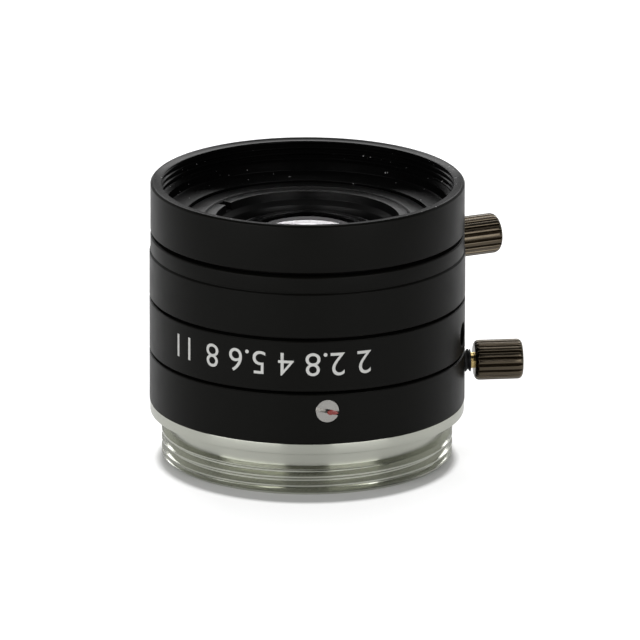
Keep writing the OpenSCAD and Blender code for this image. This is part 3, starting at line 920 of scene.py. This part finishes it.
@dataclass
class Element:
    """One glass element, ground to a sphere on each side.

    A surface's height at radius r is vertex -/+ (R - sqrt(R^2 - r^2)); a positive
    curve bulges out of the glass and a negative one is hollow.
    """

    node: str
    rim: float
    top_vertex: float
    top_curve: float
    bottom_vertex: float
    bottom_curve: float
    top_reach: float = 0.0
    bottom_reach: float = 0.0

    def build(self) -> None:
        """Makes the element and blackens its rim."""
        rows = 40
        top_reach = self.top_reach or self.rim
        bottom_reach = self.bottom_reach or self.rim
        up = np.linspace(0.0, top_reach, rows)
        down = np.linspace(bottom_reach, 0.0, rows)
        top = self.top_vertex - np.sign(self.top_curve) * self._sag(up, self.top_curve)
        bottom = self.bottom_vertex + np.sign(self.bottom_curve) * self._sag(down, self.bottom_curve)
        rim = [(self.rim, top[-1]), (self.rim, bottom[0])]
        outline = np.concatenate([np.stack([up, top], 1), rim, np.stack([down, bottom], 1)])
        angle = np.linspace(0.0, TURN, 360, endpoint=False)
        shell = grid(revolve(outline[:, 0], outline[:, 1], angle), wrap_columns=True)
        piece = add_piece(f"{self.node}_glass", shell, GLASS, Body.OPTICS, (self.node,))
        mesh = piece.data
        mesh.materials.append(GLASS_EDGE.material())
        centre = np.empty(len(mesh.polygons) * 3)
        mesh.polygons.foreach_get("center", centre)
        centre = centre.reshape(-1, 3) / MM
        edge = np.hypot(centre[:, 0], centre[:, 1]) > min(top_reach, bottom_reach, self.rim - 0.02)
        mesh.polygons.foreach_set("material_index", edge.astype(np.int32))

    def _sag(self, radius: np.ndarray, curve: float) -> np.ndarray:
        """Returns the depth of a sphere's cap at each radius."""
        return abs(curve) - np.sqrt(curve ** 2 - radius ** 2)


@dataclass
class Thumbscrew:
    """A knurled thumbscrew: threaded shank, bare neck and head.

    The head's radius is the smaller of the rounded outline r(x) and the knurl
    R - depth * exp(-((phase - 1/2) / width)^2), with the phase counted in teeth.
    """

    name: str
    node: str
    body: Body
    azimuth: float
    height: float
    tip: float
    head: float
    head_length: float = 4.22
    head_r: float = 1.75
    round_end: float = 0.42
    teeth: int = 18
    groove: float = 0.24
    groove_width: float = 0.15
    shank_r: float = 1.0
    neck_r: float = 0.7
    neck_length: float = 0.32

    def build(self) -> None:
        """Makes the head, the shank and the neck."""
        head = radial_place(self._head(), self.azimuth, self.height)
        add_piece(f"{self.name}_head", head, NICKEL, self.body, (self.node,), sharp=50)
        shank = radial_place(self._shank(), self.azimuth, self.height)
        add_piece(f"{self.name}_shank", shank, DARK_STEEL, self.body, sharp=25)
        start = self.head - self.neck_length
        neck = lathe([(0.0, start - 0.05, 0.0), (self.neck_r, start - 0.05, 0.0),
                      (self.neck_r, self.head + 0.05, 0.0), (0.0, self.head + 0.05, 0.0)], 64)
        add_piece(f"{self.name}_neck", radial_place(neck, self.azimuth, self.height), BRASS,
                  self.body)

    def _head(self) -> Shell:
        """Returns the knurled head along +Z."""
        far = self.head + self.head_length
        t = np.linspace(0.0, math.pi / 2, 9)
        near_r = self.head_r - self.round_end * (1.0 - np.sin(t))
        near_z = self.head + self.round_end * (1.0 - np.cos(t))
        middle_z = np.linspace(self.head + self.round_end, far - self.round_end, 8)[1:-1]
        radius = np.concatenate([[0.0], near_r, np.full(6, self.head_r), near_r[::-1], [0.0]])
        height = np.concatenate(
            [[self.head], near_z, middle_z, 2 * self.head + self.head_length - near_z[::-1], [far]])
        angle = np.linspace(0.0, TURN, self.teeth * 20, endpoint=False)
        phase = (angle / TURN * self.teeth) % 1.0
        knurl = self.head_r - self.groove * np.exp(-((phase - 0.5) / self.groove_width) ** 2)
        rows = np.minimum(radius[:, None], knurl[None, :])
        heights = np.repeat(height[:, None], len(angle), axis=1)
        return grid(revolve(rows, heights, angle), wrap_columns=True)

    def _shank(self) -> Shell:
        """Returns the M2 x 0.4 shank along +Z."""
        end = self.head - self.neck_length
        thread = Thread(self.tip + 0.1, end - 0.02, self.shank_r, self.shank_r - 0.22, 0.4,
                        crest_share=0.15, root_share=0.1, per_pitch=8, runout=0.15)
        before = np.array([(0.0, self.tip), (self.shank_r - 0.15, self.tip)])
        after = np.array([(self.shank_r - 0.1, end), (0.0, end)])
        return threaded_lathe(before, thread, after, 96)


@dataclass
class InnerBarrel:
    """The inner barrel and the rear cell, seen through the gaps and from behind."""

    def build(self) -> None:
        """Makes the barrel, the rear cell and dresses the rear rings."""
        _, low, high = extent("inner_barrel")
        _, sleeve_low, _ = extent("scale_sleeve")
        _, front_low, _ = extent("front_barrel")
        shoulder = sleeve_low - 0.14
        grooves = []
        for k in range(5):
            z = shoulder - 0.25 - 0.5 * k
            grooves += [(11.35, z, 0.0), (11.15, z - 0.12, 0.0), (11.15, z - 0.2, 0.0),
                        (11.35, z - 0.32, 0.0)]
        barrel = lathe([
            (9.6, low, 0.05), (11.2, low, 0.1), (11.35, low + 0.15, 0.0),
            *grooves[::-1],
            (11.35, shoulder, 0.0), (11.95, shoulder, 0.0), (11.95, front_low, 0.0),
            (11.5, front_low, 0.0), (11.5, high, 0.0), (10.41, high, 0.0),
            (10.41, high - 4.7, 0.0), (9.96, high - 4.7, 0.0), (9.96, low + 11.1, 0.0),
            (9.6, low + 11.1, 0.0),
        ])
        add_piece("inner_barrel_dressed", barrel, INNER, Body.OPTICS, ("inner_barrel",))
        _, cell_low, cell_high = extent("rear_cell")
        rear = lathe([
            (6.3, cell_low, 0.04), (7.25, cell_low, 0.05), (7.4, cell_low + 0.15, 0.04),
            (7.4, cell_high - 3.25, 0.0), (9.6, cell_high - 3.25, 0.05), (9.6, cell_high, 0.0),
            (4.0, cell_high, 0.0), (4.0, cell_high - 0.51, 0.0), (4.8, cell_high - 0.51, 0.0),
            (4.8, cell_high - 3.75, 0.0), (5.2, cell_high - 3.75, 0.0),
            (5.2, cell_high - 8.43, 0.0), (5.6, cell_high - 8.43, 0.0),
            (5.6, cell_low + 0.7, 0.0), (6.3, cell_low + 0.7, 0.0),
        ])
        add_piece("rear_cell_dressed", rear, INNER, Body.OPTICS, ("rear_cell",))
        for node in ("rear_spacer_a", "rear_spacer_b", "rear_retaining_ring"):
            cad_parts[node].data.materials[0] = INNER.material()


# The studio


@dataclass
class Studio:
    """White floor and surroundings, soft lamps and the camera."""

    distance: float = 1.2
    elevation: float = 17.45
    roll: float = 0.14
    px_per_mm: float = 11.455
    axis_px: tuple[float, float] = (307.1, 396.9)
    aim_height: float = 4.95
    frame_px: float = 640.0
    floor_colour: float = 0.80
    floor_glow: float = 0.60
    mirrored_share: float = 0.28
    # Painted contact shadow: the floor's glow is left out within this radius of a point shifted towards
    # the camera, and fades back in over the fade.
    painted_shadow_r: float = 12.5
    painted_shadow_fade: float = 1.0
    painted_shadow_shift: float = 1.9
    room_grey: float = 0.06
    backdrop: float = 0.45
    ceiling_grey: float = 0.35
    card_distance: float = 0.6
    card_strength: float = 3.0
    top_watts: float = 0.7
    back_watts: float = 1.8

    def build(self) -> None:
        """Sets up the view transform, the camera, the floor, the world and the lamps."""
        bpy.context.scene.view_settings.view_transform = "Standard"
        self._camera()
        self._floor()
        self._world()
        self._card("left_card", -74.0, -18.0, 0.0, 0.42, self.card_strength)
        self._card("right_card", 18.0, 60.0, 0.0, 0.42, self.card_strength)
        self._lamp("top_softbox", (0.0, 0.12, 0.55), (0.0, 0.0, 0.0), 0.40, 0.30, self.top_watts)
        self._lamp("back_softbox", (0.0, 0.50, 0.34), (0.0, 0.0, 0.02), 0.60, 0.22, self.back_watts)

    def _camera(self) -> None:
        """Places the camera so that the axis point lands on its pixel of the photo."""
        lens = bpy.data.cameras.new("camera")
        lens.sensor_width = 36.0
        lens.lens = self.px_per_mm * self.distance / MM * lens.sensor_width / self.frame_px
        lens.shift_x = (self.frame_px / 2 - self.axis_px[0]) / self.frame_px
        lens.shift_y = (self.axis_px[1] - self.frame_px / 2) / self.frame_px
        lens.clip_end = 10.0
        camera = bpy.data.objects.new("camera", lens)
        bpy.context.scene.collection.objects.link(camera)
        tilt = math.radians(self.elevation)
        aim = Vector((0.0, 0.0, self.aim_height * MM))
        camera.location = aim + self.distance * Vector((0.0, -math.cos(tilt), math.sin(tilt)))
        facing = (aim - camera.location).to_track_quat("-Z", "Y").to_matrix().to_4x4()
        camera.matrix_world = (Matrix.Translation(camera.location) @ facing
                               @ Matrix.Rotation(math.radians(self.roll), 4, "Z"))
        bpy.context.scene.camera = camera

    def _floor(self) -> None:
        """Lays a white floor that keeps the lens's cast shadow, with its white glow taken out in a ring
        round the lens's foot as a painted contact shadow.
        """
        half = 1.5
        mesh = bpy.data.meshes.new("floor")
        mesh.from_pydata([(-half, -half, 0), (half, -half, 0), (half, half, 0), (-half, half, 0)],
                         [], [(0, 1, 2, 3)])
        paper = bpy.data.materials.new("white_floor")
        paper.use_nodes = True
        tree = paper.node_tree
        shader = tree.nodes["Principled BSDF"]
        shader.inputs["Base Color"].default_value = (self.floor_colour,) * 3 + (1.0,)
        shader.inputs["Roughness"].default_value = 0.9
        shader.inputs["Specular IOR Level"].default_value = 0.1
        shader.inputs["Emission Color"].default_value = (1.0, 1.0, 1.0, 1.0)
        place = tree.nodes.new("ShaderNodeTexCoord").outputs["Object"]
        # Painted shadow: no glow near the lens's foot, so the floor shows a dark band there besides its
        # lit shading.
        away = tree.nodes.new("ShaderNodeVectorMath")
        away.operation = "DISTANCE"
        away.inputs[1].default_value = (0.0, -self.painted_shadow_shift * MM, 0.0)
        tree.links.new(place, away.inputs[0])
        glow_past_painted_shadow = self._step(tree, away.outputs["Value"], self.painted_shadow_r * MM,
                          (self.painted_shadow_r + self.painted_shadow_fade) * MM, 0.0, self.floor_glow)
        glow = tree.nodes.new("ShaderNodeMath")
        glow.operation = "MULTIPLY"
        tree.links.new(self._seen_rays(tree), glow.inputs[0])
        tree.links.new(glow_past_painted_shadow, glow.inputs[1])
        tree.links.new(glow.outputs[0], shader.inputs["Emission Strength"])
        mesh.materials.append(paper)
        floor = bpy.data.objects.new("floor", mesh)
        bpy.context.scene.collection.objects.link(floor)

    def _seen_rays(self, tree: bpy.types.NodeTree) -> bpy.types.NodeSocket:
        """Weighs the rays that may see the white surroundings.

        Args:
            tree: The nodes to add to.

        Returns:
            1 for camera and transmission rays, the mirrored share for glossy rays
            and 0 for the rest.
        """
        path = tree.nodes.new("ShaderNodeLightPath")
        glossy = tree.nodes.new("ShaderNodeMath")
        glossy.operation = "MULTIPLY"
        glossy.inputs[1].default_value = self.mirrored_share
        tree.links.new(path.outputs["Is Glossy Ray"], glossy.inputs[0])
        weight = glossy.outputs[0]
        for ray in ("Is Camera Ray", "Is Transmission Ray"):
            larger = tree.nodes.new("ShaderNodeMath")
            larger.operation = "MAXIMUM"
            tree.links.new(path.outputs[ray], larger.inputs[0])
            tree.links.new(weight, larger.inputs[1])
            weight = larger.outputs[0]
        return weight

    def _world(self) -> None:
        """Makes a white backdrop behind the lens and a dim room before it.

        Camera and transmission rays always see white. Glossy and diffuse rays see
        the backdrop where it stands and the room elsewhere.
        """
        world = bpy.data.worlds.new("studio")
        bpy.context.scene.world = world
        world.use_nodes = True
        tree = world.node_tree
        back = tree.nodes["Background"]
        place = tree.nodes.new("ShaderNodeTexCoord").outputs["Generated"]
        split = tree.nodes.new("ShaderNodeSeparateXYZ")
        tree.links.new(place, split.inputs["Vector"])
        behind = self._step(tree, split.outputs["Y"], -0.05, 0.30, self.room_grey, self.backdrop)
        below = self._step(tree, split.outputs["Z"], 0.45, 0.80, 1.0, self.ceiling_grey)
        ramp = tree.nodes.new("ShaderNodeMath")
        ramp.operation = "MULTIPLY"
        tree.links.new(behind, ramp.inputs[0])
        tree.links.new(below, ramp.inputs[1])
        path = tree.nodes.new("ShaderNodeLightPath")
        seen = tree.nodes.new("ShaderNodeMath")
        seen.operation = "MAXIMUM"
        tree.links.new(path.outputs["Is Camera Ray"], seen.inputs[0])
        tree.links.new(path.outputs["Is Transmission Ray"], seen.inputs[1])
        pick = tree.nodes.new("ShaderNodeMix")
        pick.data_type = "FLOAT"
        pick.inputs["B"].default_value = 1.0
        tree.links.new(seen.outputs[0], pick.inputs["Factor"])
        tree.links.new(ramp.outputs[0], pick.inputs["A"])
        tree.links.new(pick.outputs["Result"], back.inputs["Strength"])
        back.inputs["Color"].default_value = (1.0, 1.0, 1.0, 1.0)

    def _step(self, tree: bpy.types.NodeTree, value: bpy.types.NodeSocket, start: float,
              end: float, before: float, after: float) -> bpy.types.NodeSocket:
        """Goes smoothly from one strength to another as a value passes from start to end."""
        ramp = tree.nodes.new("ShaderNodeMapRange")
        ramp.interpolation_type = "SMOOTHSTEP"
        ramp.inputs["From Min"].default_value = start
        ramp.inputs["From Max"].default_value = end
        ramp.inputs["To Min"].default_value = before
        ramp.inputs["To Max"].default_value = after
        tree.links.new(value, ramp.inputs["Value"])
        return ramp.outputs["Result"]

    def _card(self, name: str, start: float, end: float, low: float, high: float,
              strength: float) -> None:
        """Stands one flat softbox beside the camera.

        Args:
            name: The lamp's name.
            start: The side nearer the left, in degrees from the front.
            end: The side nearer the right, in degrees from the front.
            low: Its lowest height in metres.
            high: Its highest height in metres.
            strength: Its brightness, where 1 is white.
        """
        turn = math.radians((start + end) / 2)
        width = 2 * self.card_distance * math.tan(math.radians(end - start) / 2)
        middle = (low + high) / 2
        place = (self.card_distance * math.sin(turn), -self.card_distance * math.cos(turn), middle)
        watts = strength * math.pi * width * (high - low)
        self._lamp(name, place, (0.0, 0.0, middle), width, high - low, watts)

    def _lamp(self, name: str, place: tuple[float, float, float], aim: tuple[float, float, float],
              width: float, depth: float, watts: float) -> None:
        """Adds one softbox.

        Args:
            name: The lamp's name.
            place: Where it stands, in metres.
            aim: The point it faces.
            width: Its width in metres.
            depth: Its height in metres.
            watts: Its power.
        """
        light = bpy.data.lights.new(name, "AREA")
        light.shape = "RECTANGLE"
        light.size = width
        light.size_y = depth
        light.energy = watts
        lamp = bpy.data.objects.new(name, light)
        bpy.context.scene.collection.objects.link(lamp)
        lamp.location = place
        lamp.rotation_euler = (Vector(aim) - Vector(place)).to_track_quat("-Z", "Y").to_euler()


def front_glass() -> list[Element]:
    """Returns the two elements before the iris."""
    vertex = extent("front_element")[2]
    _, second_low, second_high = extent("second_element")
    return [
        Element("front_element", 8.2, vertex, 16.0, vertex - 1.76, -8.5, bottom_reach=5.8),
        Element("second_element", 6.0, second_high, 14.0, second_low, 40.0),
    ]


def rear_glass() -> list[Element]:
    """Returns the five elements behind the iris, measured down from the rear cell's top."""
    top = extent("rear_cell")[2]
    return [
        Element("third_element", 4.8, top - 1.35, -10.0, top - 2.15, -9.0, top_reach=4.0),
        Element("fourth_element", 4.8, top - 2.15, 9.0, top - 4.85, 11.0),
        Element("fifth_element", 5.2, top - 5.25, 16.0, top - 8.15, 9.0),
        Element("sixth_element", 5.2, top - 8.15, -9.0, top - 9.05, 22.0),
        Element("rear_element", 5.6, top - 9.32, 18.0, top - 11.45, 60.0),
    ]


def main() -> None:
    """Builds the studio and the lens."""
    logging.basicConfig(level=logging.INFO, format="%(name)s: %(message)s")
    Studio().build()
    groups = [
        MountRing(), FocusGroup(), ScaleSleeve(), IrisRing(), FrontBarrel(), FrontOptics(),
        InnerBarrel(),
        Thumbscrew("focus_lock", "focus_lock_thumbscrew", Body.FOCUS_SCREW, 6.5, 7.85, 12.61, 14.65),
        Thumbscrew("iris_lock", "iris_lock_thumbscrew", Body.IRIS_SCREW, 25.0, 17.69, 12.58, 13.95),
        *front_glass(), *rear_glass(),
    ]
    for group in groups:
        group.build()


if __name__ == "__main__":
    main()
